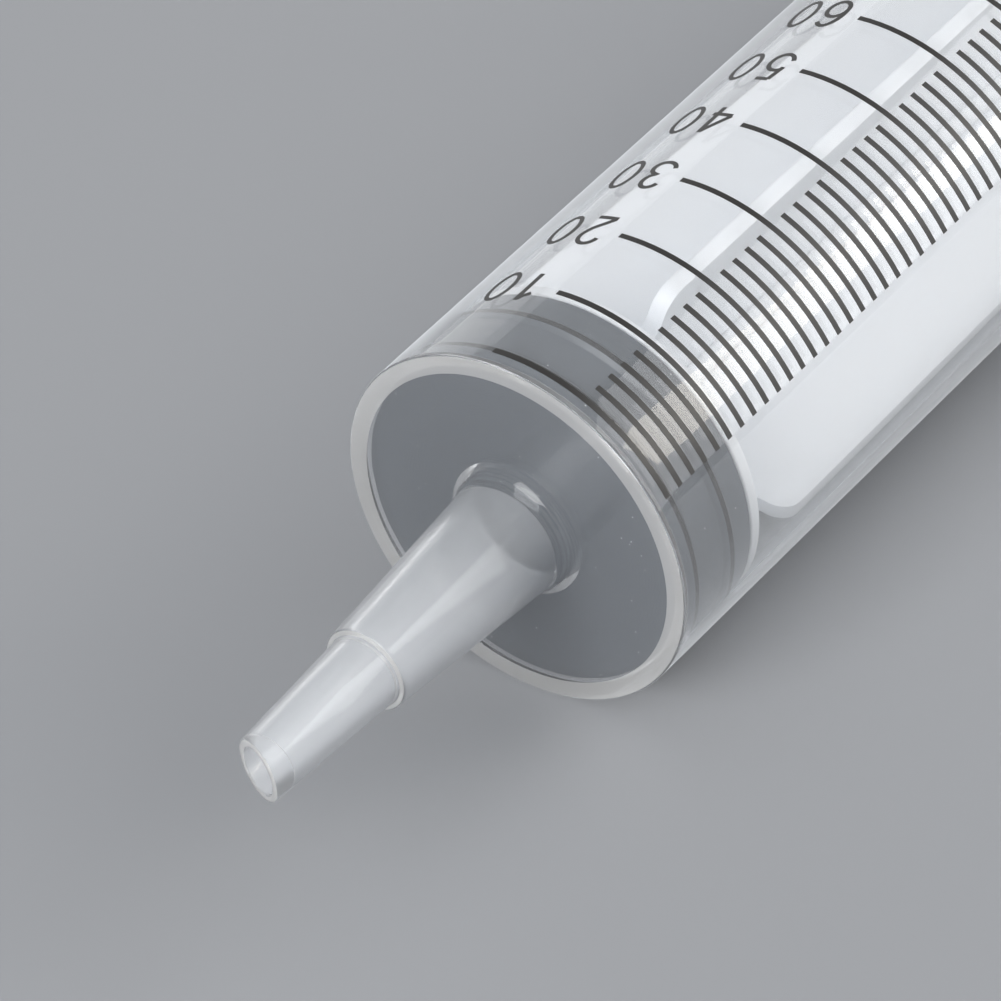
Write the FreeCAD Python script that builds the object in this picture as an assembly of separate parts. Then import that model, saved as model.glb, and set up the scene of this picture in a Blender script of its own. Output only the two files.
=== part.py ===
import FreeCAD, Part
import math
import os

# Large disposable syringe with a stepped tube tip, pushed fully in and lying on the side of its barrel.
# Lengths are in millimetres and angles in degrees. X runs along the syringe from the tip to the thumb
# plate, Z is up, and the origin is the middle of the foot of the whole outline. Each piece is drawn
# about the X axis with the front face of the barrel at X = 0, and is then moved to its place.

# Barrel
capacity_ml = 100
bore_diameter = 35.5
barrel_wall = 1.6
barrel_length = 124.0
end_plate_thickness = 1.4
front_edge_chamfer = 0.2
mouth_chamfer = 0.7

# Retaining bead inside the open end of the barrel
bead_height = 0.4
bead_width = 2.2
bead_crest_width = 0.6
bead_from_mouth = 8.0

# Finger flange at the open end of the barrel
flange_span = 62.0
flange_thickness = 2.5
flange_corner_radius = 3.0
flange_edge_chamfer = 0.5
flange_root_chamfer = 1.2
grip_rib_count = 3
grip_rib_pitch = 2.6
grip_rib_width = 1.1
grip_rib_height = 0.5
grip_rib_chamfer = 0.3
grip_rib_inset = 2.4

# Tip of the barrel: a root cone, a step and a narrower cone with a slanted mouth
root_cone_radius = 6.2
root_cone_taper = 4.14
root_cone_length = 23.5
root_cone_wall = 1.2
root_fillet_radius = 2.0
root_fillet_flats = 3
step_edge_chamfer = 0.4
tip_cone_radius = 3.9
tip_cone_taper = 2.8
tip_cone_length = 16.2
tip_cone_wall = 0.9
tip_mouth_radius = 2.31
tip_land_length = 1.85
tip_land_step = 0.1
tip_slant = 22.0
tip_edge_chamfer = 0.25

# Printed scale: one line every scale_step_ml, with a long line every scale_long_ml. Angles are measured
# round the barrel from straight up, and grow towards -Y. The zero line lies a setback behind the front
# of the stopper at rest.
scale_step_ml = 2
scale_long_ml = 10
scale_zero_setback = 0.4
scale_line_width = 0.65
scale_ink_thickness = 0.04
scale_end_angle = 61.6
scale_short_start_angle = 25.8
scale_long_start_angle = -4.8

# Stopper
stopper_rest_gap = 0.15
stopper_length = 11.0
stopper_running_clearance = 0.05
stopper_front_relief = 0.3
stopper_front_relief_length = 1.15
seal_crest_width = 0.55
seal_flank_length = 0.5
seal_waist_depth = 0.5
rear_seal_distance = 7.2
stopper_face_thickness = 3.8

# Snap joint between the stopper and the rod
snap_neck_radius = 10.2
snap_head_radius = 12.2
snap_head_thickness = 2.2
snap_head_chamfer = 0.8
snap_running_clearance = 0.08
snap_end_clearance = 0.1

# Plunger rod
rod_disc_thickness = 1.5
rod_bead_clearance = 0.25
rib_thickness = 1.65
rib_angle = 17.6
rib_shoulder_radius = 12.6
rib_shoulder_start = 1.3
rib_shoulder_length = 5.5
rod_core_radius = 2.4
rib_root_flare = 2.5

# Thumb plate of the rod
thumb_plate_diameter = 36.0
thumb_plate_thickness = 3.0
thumb_plate_chamfer = 0.9
thumb_plate_gap = 12.0
thumb_rib_count = 7
thumb_rib_pitch = 3.2
thumb_rib_width = 1.3
thumb_rib_height = 0.5
thumb_grip_radius = 12.5

# Cutting shapes reach this far past the faces that they cut
overshoot = 1.0

# Sizes that follow from those above
bore_radius = bore_diameter / 2
barrel_radius = bore_radius + barrel_wall
length_per_ml = 1000 / (math.pi * bore_radius ** 2)
flange_front = barrel_length - flange_thickness
bead_centre = barrel_length - bead_from_mouth
bead_inner_radius = bore_radius - bead_height
step_x = -root_cone_length
tip_x = step_x - tip_cone_length
stopper_front = end_plate_thickness + stopper_rest_gap
stopper_rear = stopper_front + stopper_length
seal_radius = bore_radius - stopper_running_clearance
waist_radius = seal_radius - seal_waist_depth
rear_seal_x = stopper_front + rear_seal_distance
scale_zero_x = stopper_front + scale_zero_setback
snap_cavity_front = stopper_front + stopper_face_thickness
snap_head_front = snap_cavity_front + snap_end_clearance
snap_head_rear = snap_head_front + snap_head_thickness
snap_cavity_rear = snap_head_rear + snap_end_clearance
disc_front = stopper_rear + snap_end_clearance
disc_rear = disc_front + rod_disc_thickness
rod_radius = bead_inner_radius - rod_bead_clearance
plate_front = barrel_length + thumb_plate_gap
plate_rear = plate_front + thumb_plate_thickness
thumb_plate_radius = thumb_plate_diameter / 2
stroke = bead_centre - bead_width / 2 - rear_seal_x - seal_crest_width / 2 - seal_flank_length


def taper(angle):
    """Change of radius for each millimetre along a cone of this half angle."""
    return math.tan(math.radians(angle))


def root_cone_at(x):
    """Outer radius of the root cone at x."""
    return root_cone_radius + x * taper(root_cone_taper)


def tip_cone_at(x):
    """Outer radius of the tip cone at x."""
    return tip_cone_radius + (x - step_x) * taper(tip_cone_taper)


def slant_reach(radius):
    """How far the slanted mouth leans along X at this radius."""
    return radius * taper(tip_slant)


def point(x, radius):
    """A point of a turned outline."""
    return FreeCAD.Vector(x, radius, 0)


def wire_of(nodes):
    """Closed wire through nodes; a node of two points is an arc that passes the first on its way to the second."""
    edges = []
    here = nodes[0]
    for node in nodes[1:] + [nodes[0]]:
        if isinstance(node, tuple):
            edges.append(Part.Arc(here, node[0], node[1]).toShape())
            here = node[1]
        elif here.distanceToPoint(node) > 1e-6:
            edges.append(Part.makeLine(here, node))
            here = node
    return Part.Wire(edges)


def turned(nodes):
    """Solid of revolution about the X axis."""
    face = Part.Face(wire_of(nodes))
    return face.revolve(FreeCAD.Vector(0, 0, 0), FreeCAD.Vector(1, 0, 0), 360)


def root_fillet():
    """Outline nodes of the fillet between the end plate and the root cone, as a few short flats."""
    radius = root_fillet_radius
    centre_radius = root_cone_at(-radius) + radius
    nodes = []
    for number in range(root_fillet_flats + 1):
        turn = number / root_fillet_flats * math.pi / 2
        nodes.append(point(radius * (math.cos(turn) - 1), centre_radius - radius * math.sin(turn)))
    return nodes


def cylinder_x(radius, start, end):
    """Round bar about the X axis from start to end."""
    return Part.makeCylinder(radius, end - start, FreeCAD.Vector(start, 0, 0), FreeCAD.Vector(1, 0, 0))


def cone_x(radius_start, radius_end, start, end):
    """Round cone about the X axis from start to end."""
    return Part.makeCone(radius_start, radius_end, end - start, FreeCAD.Vector(start, 0, 0), FreeCAD.Vector(1, 0, 0))


def bar_box(x_range, y_range, z_range):
    """Box from three ranges."""
    corner = FreeCAD.Vector(x_range[0], y_range[0], z_range[0])
    size = [high - low for low, high in (x_range, y_range, z_range)]
    return Part.makeBox(size[0], size[1], size[2], corner)


def ahead_of_slant(mouth_x):
    """Block that takes away all that lies in front of a mouth slanted through mouth_x on the axis."""
    reach = 4 * root_cone_radius
    block = bar_box((mouth_x - reach, mouth_x), (-reach, reach), (-reach, reach))
    block.rotate(FreeCAD.Vector(mouth_x, 0, 0), FreeCAD.Vector(0, 0, 1), -tip_slant)
    return block


def tube():
    """Barrel wall and end plate, with the bevelled front edge and the ramped bead inside the mouth."""
    edge = front_edge_chamfer
    return turned([
        point(0, 0),
        point(0, barrel_radius - edge),
        point(edge, barrel_radius),
        point(barrel_length, barrel_radius),
        point(barrel_length, bore_radius + mouth_chamfer),
        point(barrel_length - mouth_chamfer, bore_radius),
        point(bead_centre + bead_width / 2, bore_radius),
        point(bead_centre + bead_crest_width / 2, bead_inner_radius),
        point(bead_centre - bead_crest_width / 2, bead_inner_radius),
        point(bead_centre - bead_width / 2, bore_radius),
        point(end_plate_thickness, bore_radius),
        point(end_plate_thickness, 0),
    ])


def tip_outside():
    """Root cone with its fillet on the end plate, the bevelled step and the slanted tip cone."""
    bevel = step_edge_chamfer
    inside = end_plate_thickness / 2
    forward = tip_x - slant_reach(tip_cone_radius) - tip_cone_radius
    fillet = root_fillet()
    shape = turned([
        point(inside, 0),
        point(inside, fillet[0].y),
        *fillet,
        point(step_x + bevel, root_cone_at(step_x + bevel)),
        point(step_x, root_cone_at(step_x) - bevel),
        point(step_x, tip_cone_radius),
        point(forward, tip_cone_at(forward)),
        point(forward, 0),
    ])
    shape = shape.cut(ahead_of_slant(tip_x))
    return bevelled_mouth(shape)


def bevelled_mouth(shape):
    """The same shape with the outer edge of its slanted mouth bevelled."""
    mouth = [edge for edge in shape.Edges if edge.CenterOfMass.x < tip_x + slant_reach(tip_mouth_radius) / 2]
    outer = max(mouth, key=lambda edge: edge.Length)
    return shape.makeChamfer(tip_edge_chamfer, [outer])


def tip_passage():
    """The way through the tip: two tapered lengths with a shoulder between, and the land behind the mouth."""
    inner_end = end_plate_thickness + overshoot
    return turned([
        point(inner_end, 0),
        point(inner_end, root_cone_at(inner_end) - root_cone_wall),
        point(step_x, root_cone_at(step_x) - root_cone_wall),
        point(step_x, tip_cone_radius - tip_cone_wall),
        point(tip_x + tip_land_length, tip_mouth_radius + tip_land_step),
        point(tip_x + tip_land_length, tip_mouth_radius),
        point(tip_x - 2 * tip_cone_radius, tip_mouth_radius),
        point(tip_x - 2 * tip_cone_radius, 0),
    ])


def flange_outline(x):
    """Outline of the finger flange: a circle cut by two flats that lie flush with the barrel."""
    half_span = flange_span / 2
    flat = barrel_radius
    side = math.sqrt(half_span ** 2 - flat ** 2)
    return wire_of([
        FreeCAD.Vector(x, side, -flat),
        (FreeCAD.Vector(x, half_span, 0), FreeCAD.Vector(x, side, flat)),
        FreeCAD.Vector(x, -side, flat),
        (FreeCAD.Vector(x, -half_span, 0), FreeCAD.Vector(x, -side, -flat)),
    ])


def finger_flange():
    """Flange plate with rounded corners and bevelled edges, its root on the barrel and its grip ribs."""
    plate = Part.Face(flange_outline(flange_front)).extrude(FreeCAD.Vector(flange_thickness, 0, 0))
    corners = [e for e in plate.Edges if abs(e.tangentAt(e.FirstParameter).x) > 0.9]
    plate = plate.makeFillet(flange_corner_radius, corners)
    rims = [e for e in plate.Edges if e.BoundBox.XLength < 1e-6]
    plate = plate.makeChamfer(flange_edge_chamfer, rims)
    root = flange_root_chamfer
    collar = turned([
        point(flange_front - root, bore_radius),
        point(flange_front - root, barrel_radius),
        point(flange_front, barrel_radius + root),
        point(flange_front + flange_thickness / 2, barrel_radius + root),
        point(flange_front + flange_thickness / 2, bore_radius),
    ])
    strip = bar_box((0, barrel_length), (-flange_span, flange_span), (-barrel_radius, barrel_radius))
    return plate.fuse([collar.common(strip)] + grip_ribs())


def grip_ribs():
    """Upright ribs on the finger side of both wings, kept inside the outline of the flange."""
    ribs = []
    x_range = (flange_front - grip_rib_height, flange_front + flange_thickness / 2)
    outer = flange_span / 2 - grip_rib_inset
    for number in range(grip_rib_count):
        middle = outer - number * grip_rib_pitch
        reach = min(math.sqrt((flange_span / 2) ** 2 - middle ** 2), barrel_radius) - grip_rib_inset
        for side in (-1, 1):
            sides = sorted((side * (middle - grip_rib_width / 2), side * (middle + grip_rib_width / 2)))
            rib = bar_box(x_range, sides, (-reach, reach))
            crest = [e for e in rib.Edges if e.BoundBox.XMax < flange_front - grip_rib_height / 2]
            ribs.append(rib.makeChamfer(grip_rib_chamfer, [e for e in crest if e.BoundBox.ZLength > reach]))
    return ribs


def barrel():
    """The barrel in one moulding: tube, end plate, tip, bead and finger flange."""
    hollow = cylinder_x(bead_inner_radius, end_plate_thickness, barrel_length + overshoot)
    flange = finger_flange().cut(cylinder_x(barrel_radius - barrel_wall / 2, 0, barrel_length + overshoot))
    body = tube().fuse([tip_outside(), flange])
    return body.cut(tip_passage()).cut(hollow).removeSplitter()


def scale_lines():
    """Printed lines of the scale, as thin curved bars on the outside of the barrel."""
    lines = []
    inner = barrel_radius
    outer = barrel_radius + scale_ink_thickness
    for volume in range(0, capacity_ml + 1, scale_step_ml):
        start = scale_long_start_angle if volume % scale_long_ml == 0 else scale_short_start_angle
        middle = scale_zero_x + volume * length_per_ml
        back = middle - scale_line_width / 2
        front = middle + scale_line_width / 2
        section = wire_of([point(back, inner), point(front, inner), point(front, outer), point(back, outer)])
        line = Part.Face(section).revolve(FreeCAD.Vector(0, 0, 0), FreeCAD.Vector(1, 0, 0), scale_end_angle - start)
        line.rotate(FreeCAD.Vector(0, 0, 0), FreeCAD.Vector(1, 0, 0), 90 + start)
        lines.append(line)
    return Part.makeCompound(lines)


def seal(middle):
    """Outline nodes of one sealing crest, from its front foot to its rear foot."""
    half = seal_crest_width / 2
    return [
        point(middle - half - seal_flank_length, waist_radius),
        point(middle - half, seal_radius),
        point(middle + half, seal_radius),
        point(middle + half + seal_flank_length, waist_radius),
    ]


def stopper():
    """Rubber stopper with a front and a rear sealing crest and the undercut that holds the rod's head."""
    neck = snap_neck_radius + snap_running_clearance
    head = snap_head_radius + snap_running_clearance
    crest_x = stopper_front + stopper_front_relief_length
    return turned([
        point(stopper_front, 0),
        point(stopper_front, seal_radius - stopper_front_relief),
        point(crest_x, seal_radius),
        point(crest_x + seal_crest_width, seal_radius),
        point(crest_x + seal_crest_width + seal_flank_length, waist_radius),
        *seal(rear_seal_x),
        point(stopper_rear, waist_radius),
        point(stopper_rear, neck),
        point(snap_cavity_rear, neck),
        point(snap_cavity_rear, head),
        point(snap_cavity_front, head),
        point(snap_cavity_front, 0),
    ])


def rib_outline():
    """Outline of two opposite ribs in one plate, with the curved shoulders behind the front disc."""
    rise = rod_radius - rib_shoulder_radius
    run = rib_shoulder_length
    turn = 2 * math.atan2(rise, run)
    bend = run / (2 * math.sin(turn))
    start = disc_rear + rib_shoulder_start
    middle = point(start + run / 2, rib_shoulder_radius + rise / 2)
    low = point(start + bend * math.sin(turn / 2), rib_shoulder_radius + bend * (1 - math.cos(turn / 2)))
    high = point(start + run - bend * math.sin(turn / 2), rod_radius - bend * (1 - math.cos(turn / 2)))
    inside = disc_rear - rod_disc_thickness / 2
    back = plate_front + thumb_plate_thickness / 2
    upper = [
        point(inside, rib_shoulder_radius),
        point(start, rib_shoulder_radius),
        (low, middle),
        (high, point(start + run, rod_radius)),
        point(back, rod_radius),
    ]
    flip = lambda p: FreeCAD.Vector(p.x, -p.y, p.z)
    lower = [
        point(back, -rod_radius),
        point(start + run, -rod_radius),
        (flip(high), flip(middle)),
        (flip(low), point(start, -rib_shoulder_radius)),
        point(inside, -rib_shoulder_radius),
    ]
    return upper + lower


def rib_plate():
    """One flat plate that makes two opposite ribs of the rod."""
    plate = Part.Face(wire_of(rib_outline())).extrude(FreeCAD.Vector(0, 0, rib_thickness))
    plate.translate(FreeCAD.Vector(0, 0, -rib_thickness / 2))
    plate.rotate(FreeCAD.Vector(0, 0, 0), FreeCAD.Vector(1, 0, 0), 90)
    return plate


def rod_disc():
    """Round disc of the rod that backs the stopper."""
    return cylinder_x(rod_radius, disc_front, disc_rear)


def snap_head():
    """Snap head with a chamfered front edge, carried on a crossed neck inside the stopper."""
    chamfer = snap_head_chamfer
    head = turned([
        point(snap_head_front, 0),
        point(snap_head_front, snap_head_radius - chamfer),
        point(snap_head_front + chamfer, snap_head_radius),
        point(snap_head_rear, snap_head_radius),
        point(snap_head_rear, 0),
    ])
    neck = cylinder_x(snap_neck_radius, snap_head_rear - chamfer, disc_front + chamfer)
    web = bar_box((0, disc_rear), (-rod_radius, rod_radius), (-rib_thickness / 2, rib_thickness / 2))
    crossing = bar_box((0, disc_rear), (-rib_thickness / 2, rib_thickness / 2), (-rod_radius, rod_radius))
    return head.fuse(neck.common(web.fuse(crossing)))


def thumb_plate():
    """Round thumb plate with a bevelled rim and parallel grip ribs on its pushing face."""
    bevel = thumb_plate_chamfer
    plate = turned([
        point(plate_front, 0),
        point(plate_front, thumb_plate_radius - bevel),
        point(plate_front + bevel, thumb_plate_radius),
        point(plate_rear - bevel, thumb_plate_radius),
        point(plate_rear, thumb_plate_radius - bevel),
        point(plate_rear, 0),
    ])
    ribs = []
    for number in range(thumb_rib_count):
        middle = (number - (thumb_rib_count - 1) / 2) * thumb_rib_pitch
        reach = math.sqrt(thumb_grip_radius ** 2 - middle ** 2)
        across = (middle - thumb_rib_width / 2, middle + thumb_rib_width / 2)
        ribs.append(bar_box((plate_front, plate_rear + thumb_rib_height), across, (-reach, reach)))
    return plate.fuse(ribs)


def plunger_rod():
    """The rod in one moulding: snap head, front disc, four ribs on a round core, and the thumb plate."""
    ribs = rib_plate()
    crossing = rib_plate()
    crossing.rotate(FreeCAD.Vector(0, 0, 0), FreeCAD.Vector(1, 0, 0), 90)
    core = cylinder_x(rod_core_radius, disc_rear - rod_disc_thickness / 2, plate_front + thumb_plate_thickness / 2)
    flare = cone_x(rod_core_radius, rod_core_radius + rib_root_flare, plate_front - rib_root_flare, plate_front)
    rod = rod_disc().fuse([snap_head(), ribs, crossing, core, flare, thumb_plate()])
    rod.rotate(FreeCAD.Vector(0, 0, 0), FreeCAD.Vector(1, 0, 0), rib_angle)
    return rod.removeSplitter()


pieces = {
    "barrel": barrel(),
    "scale_lines": scale_lines(),
    "stopper": stopper(),
    "plunger_rod": plunger_rod(),
}
outline = Part.makeCompound(list(pieces.values())).optimalBoundingBox(False)
origin = FreeCAD.Vector(outline.Center.x, 0, outline.ZMin)
os.makedirs("parts", exist_ok=True)
for name, shape in pieces.items():
    shape.translate(-origin)
    shape.exportStep("parts/" + name + ".step")
    print(name, "solids", len(shape.Solids), "volume", round(shape.Volume, 1), "valid", shape.isValid())
print("stroke", round(stroke, 3), "axis height", round(-origin.z, 3), "front face at x", round(-origin.x, 3))
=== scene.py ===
"""Looks of a large disposable syringe: clear barrel, printed scale, grey stopper and white plunger rod."""

import logging
import math
from dataclasses import dataclass
from enum import Enum
from typing import Callable, Sequence

import bmesh
import bpy
from mathutils import Matrix, Vector


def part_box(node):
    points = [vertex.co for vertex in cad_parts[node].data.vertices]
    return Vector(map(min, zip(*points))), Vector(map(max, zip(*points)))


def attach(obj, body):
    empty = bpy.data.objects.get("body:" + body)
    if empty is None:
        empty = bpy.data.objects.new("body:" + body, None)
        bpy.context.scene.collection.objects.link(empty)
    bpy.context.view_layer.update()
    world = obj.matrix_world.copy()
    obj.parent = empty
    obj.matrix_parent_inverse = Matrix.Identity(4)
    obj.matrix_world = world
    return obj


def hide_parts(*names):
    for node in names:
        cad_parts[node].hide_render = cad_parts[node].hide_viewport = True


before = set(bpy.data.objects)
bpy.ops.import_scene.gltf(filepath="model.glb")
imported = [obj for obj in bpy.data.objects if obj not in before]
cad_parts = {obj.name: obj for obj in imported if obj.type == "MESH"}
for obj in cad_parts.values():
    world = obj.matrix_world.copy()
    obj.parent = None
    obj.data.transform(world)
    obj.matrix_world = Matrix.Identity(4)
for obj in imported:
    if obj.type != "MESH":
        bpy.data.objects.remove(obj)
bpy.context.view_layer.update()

MM = 0.001
CRISP_FROM = 30.0  # degrees that an edge turns by
ARC_STEP = 18.0  # degrees of a rounded corner
BEVEL_STEPS = 3
WELD_REACH = 1e-7  # metres
log = logging.getLogger("syringe")

Point = tuple[float, float]
Corner = tuple[float, float, float]
Colour = tuple[float, float, float]
Ring = Callable[[float], Point]


class Body(Enum):
    """The moving bodies of the syringe."""

    BARREL = "barrel"
    STOPPER = "stopper"
    ROD = "rod"


class Slot(Enum):
    """The material slots of the record."""

    CLEAR = "clear_plastic"
    INK = "scale_ink"
    RUBBER = "grey_rubber"
    WHITE = "white_plastic"


class Region(Enum):
    """The regions of the barrel that have a material each, in the order of its slots."""

    TUBE = 0
    PASSAGE = 1
    RIM = 2
    PLATE = 3
    SKIN = 4


# Places and outlines


@dataclass(frozen=True)
class SyringeAxis:
    """The line that everything is turned about, with places in millimetres from the barrel's front face."""

    front_x: float
    height: float

    def place(self, x: float, radius: float = 0.0, angle: float = 0.0) -> Vector:
        """Return the point at x and radius, turned by angle from straight up towards -Y.

        Args:
            x: Distance behind the front face, in millimetres.
            radius: Distance from the axis, in millimetres.
            angle: Angle in radians.

        Returns:
            The point in metres.
        """
        across = -radius * math.sin(angle) * MM
        up = radius * math.cos(angle) * MM
        return Vector((self.front_x + x * MM, across, self.height + up))

    def radius_of(self, point: Vector) -> float:
        """Return how many millimetres a point lies from the axis."""
        return math.hypot(point.y, point.z - self.height) / MM


def softened(corners: Sequence[Corner]) -> list[Point]:
    """Return an open outline with its corners rounded.

    Args:
        corners: Points as (x, radius, corner radius) in millimetres. The ends have no corner radius.

    Returns:
        The points of the rounded outline.
    """
    outline: list[Point] = []
    for index, (x, radius, bend) in enumerate(corners):
        if bend <= 0:
            outline.append((x, radius))
            continue
        here = Vector((x, radius))
        before = (Vector(corners[index - 1][:2]) - here).normalized()
        after = (Vector(corners[index + 1][:2]) - here).normalized()
        opening = before.angle(after)
        reach = bend / math.tan(opening / 2)
        middle = here + (before + after).normalized() * (bend / math.sin(opening / 2))
        start = here + before * reach - middle
        end = here + after * reach - middle
        side = 1 if start.x * end.y - start.y * end.x > 0 else -1
        turn = math.pi - opening
        steps = max(2, round(math.degrees(turn) / ARC_STEP))
        for step in range(steps + 1):
            swing = side * turn * step / steps
            outline.append((
                middle.x + start.x * math.cos(swing) - start.y * math.sin(swing),
                middle.y + start.x * math.sin(swing) + start.y * math.cos(swing),
            ))
    return outline


@dataclass
class Lathe:
    """Turns outlines about the syringe's axis into meshes."""

    axis: SyringeAxis
    segments: int = 384

    def turn(self, name: str, outline: Sequence[Point | Ring], closed: bool = True) -> bpy.types.Object:
        """Return a mesh object turned from an outline.

        Args:
            name: Name of the new object.
            outline: Points (x, radius), or functions that give one for an angle. A radius of 0 is a pole.
            closed: Whether the last ring joins the first.

        Returns:
            The object, linked to the scene.
        """
        mesh = bmesh.new()
        rings: list[list[bmesh.types.BMVert]] = []
        for node in outline:
            if not callable(node) and node[1] <= 0:
                rings.append([mesh.verts.new(self.axis.place(node[0]))])
                continue
            ring = []
            for step in range(self.segments):
                angle = 2 * math.pi * step / self.segments
                x, radius = node(angle) if callable(node) else node
                ring.append(mesh.verts.new(self.axis.place(x, radius, angle)))
            rings.append(ring)
        pairs = list(zip(rings, rings[1:]))
        if closed:
            pairs.append((rings[-1], rings[0]))
        for low, high in pairs:
            for step in range(self.segments):
                after = (step + 1) % self.segments
                if len(low) == 1:
                    corners = (low[0], high[step], high[after])
                elif len(high) == 1:
                    corners = (low[step], high[0], low[after])
                else:
                    corners = (low[step], high[step], high[after], low[after])
                mesh.faces.new(corners)
        bmesh.ops.remove_doubles(mesh, verts=mesh.verts, dist=WELD_REACH)
        bmesh.ops.recalc_face_normals(mesh, faces=mesh.faces)
        return object_from(name, mesh)

    def turn_solid(self, name: str, corners: Sequence[Corner]) -> bpy.types.Object:
        """Return a solid piece turned from the outline of its outside.

        Args:
            name: Name of the new object.
            corners: Points as (x, radius, corner radius), from the front face to the rear face.

        Returns:
            The object, linked to the scene.
        """
        ends = [(corners[index][0], 0.0, 0.0) for index in (0, -1)]
        return self.turn(name, softened([ends[0], *corners, ends[1]]), closed=False)


def smooth(data: bpy.types.Mesh, crease: float = CRISP_FROM) -> None:
    """Shade a mesh smooth, apart from edges that turn by more than crease degrees."""
    data.shade_smooth()
    data.set_sharp_from_angle(angle=math.radians(crease))


def object_from(name: str, mesh: bmesh.types.BMesh, crease: float = CRISP_FROM) -> bpy.types.Object:
    """Return an object made from a bmesh, smooth except across sharp creases.

    Args:
        name: Name of the new object.
        mesh: The bmesh, which is freed.
        crease: Edges that turn by more than this many degrees stay crisp.

    Returns:
        The object, linked to the scene.
    """
    data = bpy.data.meshes.new(name)
    mesh.to_mesh(data)
    mesh.free()
    smooth(data, crease)
    made = bpy.data.objects.new(name, data)
    bpy.context.scene.collection.objects.link(made)
    return made


def soft_bar(mesh: bmesh.types.BMesh, low: Vector, high: Vector, bend: float) -> None:
    """Add a bar with rounded edges to a bmesh.

    Args:
        mesh: The bmesh that gets the bar.
        low: Lowest corner.
        high: Highest corner.
        bend: Radius of the rounded edges.
    """
    made = bmesh.ops.create_cube(mesh, size=1.0)["verts"]
    size = high - low
    for vert in made:
        vert.co = Vector(low[i] + (vert.co[i] + 0.5) * size[i] for i in range(3))
    edges = list(dict.fromkeys(edge for vert in made for edge in vert.link_edges))
    bmesh.ops.bevel(mesh, geom=edges, offset=bend, segments=BEVEL_STEPS, profile=0.5, affect="EDGES")


def joined(target: bpy.types.Object, tool: bpy.types.Object) -> None:
    """Weld a closed tool into a closed target and delete the tool.

    Args:
        target: The object that grows.
        tool: The object that is added to it.
    """
    weld = target.modifiers.new("weld", "BOOLEAN")
    weld.operation = "UNION"
    weld.solver = "EXACT"
    weld.object = tool
    graph = bpy.context.evaluated_depsgraph_get()
    data = bpy.data.meshes.new_from_object(target.evaluated_get(graph))
    target.modifiers.clear()
    target.data = data
    smooth(data)
    bpy.data.objects.remove(tool)


# Shader building blocks


Inputs = dict[str | int, object]


@dataclass
class NodeBuilder:
    """Adds and links nodes in one node tree."""

    tree: bpy.types.NodeTree

    def feed(self, node: bpy.types.Node, inputs: Inputs) -> None:
        """Set or link a node's inputs.

        Args:
            node: The node.
            inputs: For each input its plain value, or the output socket that feeds it.
        """
        for key, value in inputs.items():
            if isinstance(value, bpy.types.NodeSocket):
                self.tree.links.new(value, node.inputs[key])
            else:
                node.inputs[key].default_value = value

    def add(self, kind: str, inputs: Inputs | None = None, **settings: object) -> bpy.types.Node:
        """Return a new node.

        Args:
            kind: Type name of the node.
            inputs: For each input its plain value, or the output socket that feeds it.
            settings: Node properties by name.

        Returns:
            The new node.
        """
        node = self.tree.nodes.new(kind)
        for key, value in settings.items():
            setattr(node, key, value)
        self.feed(node, inputs or {})
        return node

    def figure(self, operation: str, *terms: object, clamp: bool = False) -> bpy.types.NodeSocket:
        """Return the result of a Math node on its terms, which are numbers or output sockets."""
        node = self.add("ShaderNodeMath", dict(enumerate(terms)), operation=operation, use_clamp=clamp)
        return node.outputs["Value"]

    def blend(self, share: bpy.types.NodeSocket, plain: object, other: object) -> bpy.types.NodeSocket:
        """Return the colour that goes from plain to other as share goes from 0 to 1."""
        node = self.add("ShaderNodeMix", {"Factor": share, "A": plain, "B": other}, data_type="RGBA")
        return node.outputs["Result"]


def group_tree(name: str, takes: dict[str, float], gives: Sequence[str]) -> NodeBuilder:
    """Return a builder on a new node group whose sockets are all numbers.

    Args:
        name: Name of the group.
        takes: Inputs and their default values.
        gives: Names of the outputs.

    Returns:
        The builder. The group's ends are its nodes "Group Input" and "Group Output".
    """
    tree = bpy.data.node_groups.new(name, "ShaderNodeTree")
    for label, value in takes.items():
        socket = tree.interface.new_socket(name=label, in_out="INPUT", socket_type="NodeSocketFloat")
        socket.default_value = value
    for label in gives:
        tree.interface.new_socket(name=label, in_out="OUTPUT", socket_type="NodeSocketFloat")
    build = NodeBuilder(tree)
    build.add("NodeGroupInput", name="Group Input")
    build.add("NodeGroupOutput", name="Group Output")
    return build


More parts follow.
